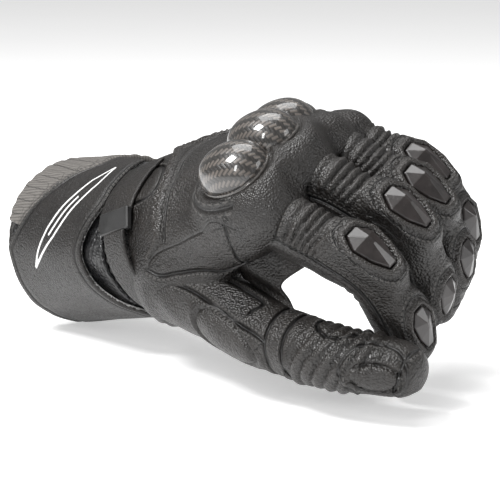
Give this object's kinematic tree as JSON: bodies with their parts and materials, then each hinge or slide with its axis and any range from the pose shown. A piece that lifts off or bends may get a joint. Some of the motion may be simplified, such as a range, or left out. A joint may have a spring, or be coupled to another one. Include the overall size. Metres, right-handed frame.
{
  "type": "motorcycle riding glove",
  "caption": "Left-hand leather riding gauntlet in a pinching pose, with knuckle armour, finger studs, ribbed stretch joints, wrist strap and wrapped cuff.",
  "frame": {"origin": "centre of the wrist joint, inside the glove", "axes": "+X from the wrist towards the fingers, +Y towards the little finger, +Z out of the back of the hand"},
  "size_m": [0.2561, 0.1328, 0.1175],
  "materials": {
    "binding": "semi-gloss",
    "carbon": "clear-coated woven",
    "elastic": "matte gathered",
    "leather": "semi-gloss grained",
    "leather_side": "semi-gloss grained",
    "plastic": "satin",
    "shock": "matte ribbed",
    "stretch": "semi-gloss, ribbed",
    "stud": "gloss faceted"
  },
  "bodies": {
    "hand": {"hand_back_panel": "leather", "palm_panel": "leather_side", "thumb_base_sleeve": "leather", "thumb_base_pad": "leather_side", "web_gusset": "leather_side", "knuckle_pad": "leather_side", "knuckle_guard": "carbon", "strap_keeper": "leather", "wrist_elastic": "elastic", "thumb_knuckle_bellows": "stretch", "index_knuckle_bellows": "stretch", "middle_knuckle_bellows": "stretch", "ring_knuckle_bellows": "stretch", "little_knuckle_bellows": "stretch"},
    "strap": {"wrist_strap": "leather", "strap_loop": "plastic"},
    "cuff": {"cuff_shell": "leather_side", "cuff_hem": "binding", "cuff_shock_panel": "shock"},
    "flap": {"cuff_flap": "leather"},
    "index_lower": {"index_lower_sleeve": "leather", "index_lower_stud": "stud", "index_mid_bellows": "stretch"},
    "index_upper": {"index_upper_sleeve": "leather", "index_upper_stud": "stud", "index_tip_bellows": "stretch"},
    "index_tip": {"index_fingertip": "leather"},
    "middle_lower": {"middle_lower_sleeve": "leather", "middle_lower_stud": "stud", "middle_mid_bellows": "stretch"},
    "middle_upper": {"middle_upper_sleeve": "leather", "middle_upper_stud": "stud", "middle_tip_bellows": "stretch"},
    "middle_tip": {"middle_fingertip": "leather"},
    "ring_lower": {"ring_lower_sleeve": "leather", "ring_lower_stud": "stud", "ring_mid_bellows": "stretch"},
    "ring_upper": {"ring_upper_sleeve": "leather", "ring_upper_stud": "stud", "ring_tip_bellows": "stretch"},
    "ring_tip": {"ring_fingertip": "leather"},
    "little_lower": {"little_lower_sleeve": "leather", "little_lower_stud": "stud", "little_mid_bellows": "stretch"},
    "little_upper": {"little_upper_sleeve": "leather", "little_upper_stud": "stud", "little_tip_bellows": "stretch"},
    "little_tip": {"little_fingertip": "leather"},
    "thumb_lower": {"thumb_lower_sleeve": "leather", "thumb_tip_bellows": "stretch"},
    "thumb_tip": {"thumb_tip_sleeve": "leather", "thumb_tip_pad": "leather_side"}
  },
  "joints": [
    {"name": "wrist_bend", "type": "hinge", "parent": "hand", "child": "cuff", "pos_m": [0, 0, 0], "axis": [-0.1606, 0.8829, 0.4412], "range_deg": [-10, 12], "deforming": ["wrist_elastic"]},
    {"name": "flap_open", "type": "hinge", "parent": "cuff", "child": "flap", "pos_m": [-0.02983, -0.00048, 0.03013], "axis": [-0.9498, 0.2954, -0.1031], "range_deg": [0, 60]},
    {"name": "strap_open", "type": "hinge", "parent": "hand", "child": "strap", "pos_m": [0.02145, 0.00436, -0.02531], "axis": [0.9397, 0, 0.342], "range_deg": [0, 70]},
    {"name": "index_knuckle_bend", "type": "hinge", "parent": "hand", "child": "index_lower", "pos_m": [0.09634, -0.03224, 0.02478], "axis": [-0.1112, 0.8817, 0.4584], "range_deg": [-35, 0], "deforming": ["index_knuckle_bellows", "web_gusset"]},
    {"name": "index_mid_bend", "type": "hinge", "parent": "index_lower", "child": "index_upper", "pos_m": [0.13975, -0.01615, 0.00436], "axis": [-0.1112, 0.8817, 0.4584], "range_deg": [-40, 0], "deforming": ["index_mid_bellows"]},
    {"name": "index_tip_bend", "type": "hinge", "parent": "index_upper", "child": "index_tip", "pos_m": [0.14319, -0.0022, -0.02163], "axis": [-0.1112, 0.8817, 0.4584], "range_deg": [-24, 0], "deforming": ["index_tip_bellows"]},
    {"name": "middle_knuckle_bend", "type": "hinge", "parent": "hand", "child": "middle_lower", "pos_m": [0.09405, -0.01196, 0.04072], "axis": [-0.1606, 0.8829, 0.4412], "range_deg": [-35, 20], "deforming": ["middle_knuckle_bellows"]},
    {"name": "middle_mid_bend", "type": "hinge", "parent": "middle_lower", "child": "middle_upper", "pos_m": [0.13895, 0.00838, 0.01634], "axis": [-0.1606, 0.8829, 0.4412], "range_deg": [-45, 15], "deforming": ["middle_mid_bellows"]},
    {"name": "middle_tip_bend", "type": "hinge", "parent": "middle_upper", "child": "middle_tip", "pos_m": [0.13187, 0.02221, -0.01391], "axis": [-0.1606, 0.8829, 0.4412], "range_deg": [-27, 9], "deforming": ["middle_tip_bellows"]},
    {"name": "ring_knuckle_bend", "type": "hinge", "parent": "hand", "child": "ring_lower", "pos_m": [0.08478, 0.01192, 0.04688], "axis": [-0.1933, 0.8824, 0.429], "range_deg": [-35, 20], "deforming": ["ring_knuckle_bellows"]},
    {"name": "ring_mid_bend", "type": "hinge", "parent": "ring_lower", "child": "ring_upper", "pos_m": [0.12525, 0.03272, 0.02234], "axis": [-0.1933, 0.8824, 0.429], "range_deg": [-40, 20], "deforming": ["ring_mid_bellows"]},
    {"name": "ring_tip_bend", "type": "hinge", "parent": "ring_upper", "child": "ring_tip", "pos_m": [0.12412, 0.04646, -0.00643], "axis": [-0.1933, 0.8824, 0.429], "range_deg": [-24, 12], "deforming": ["ring_tip_bellows"]},
    {"name": "little_knuckle_bend", "type": "hinge", "parent": "hand", "child": "little_lower", "pos_m": [0.07409, 0.03594, 0.0473], "axis": [-0.2419, 0.8796, 0.4097], "range_deg": [-30, 15], "deforming": ["little_knuckle_bellows"]},
    {"name": "little_mid_bend", "type": "hinge", "parent": "little_lower", "child": "little_upper", "pos_m": [0.10782, 0.05417, 0.02806], "axis": [-0.2419, 0.8796, 0.4097], "range_deg": [-35, 15], "deforming": ["little_mid_bellows"]},
    {"name": "little_tip_bend", "type": "hinge", "parent": "little_upper", "child": "little_tip", "pos_m": [0.11145, 0.06602, 0.00476], "axis": [-0.2419, 0.8796, 0.4097], "range_deg": [-21, 9], "deforming": ["little_tip_bellows"]},
    {"name": "thumb_knuckle_bend", "type": "hinge", "parent": "hand", "child": "thumb_lower", "pos_m": [0.098, -0.032, -0.027], "axis": [0.0693, 0, 0.9976], "range_deg": [-30, 0], "deforming": ["thumb_knuckle_bellows"]},
    {"name": "thumb_tip_bend", "type": "hinge", "parent": "thumb_lower", "child": "thumb_tip", "pos_m": [0.134, -0.032, -0.0295], "axis": [0.0693, 0, 0.9976], "range_deg": [-25, 0], "deforming": ["thumb_tip_bellows"]}
  ],
  "couplings": [
    {"joint": "index_tip_bend", "follows": "index_mid_bend", "ratio": 0.6},
    {"joint": "middle_tip_bend", "follows": "middle_mid_bend", "ratio": 0.6},
    {"joint": "ring_tip_bend", "follows": "ring_mid_bend", "ratio": 0.6},
    {"joint": "little_tip_bend", "follows": "little_mid_bend", "ratio": 0.6}
  ]
}
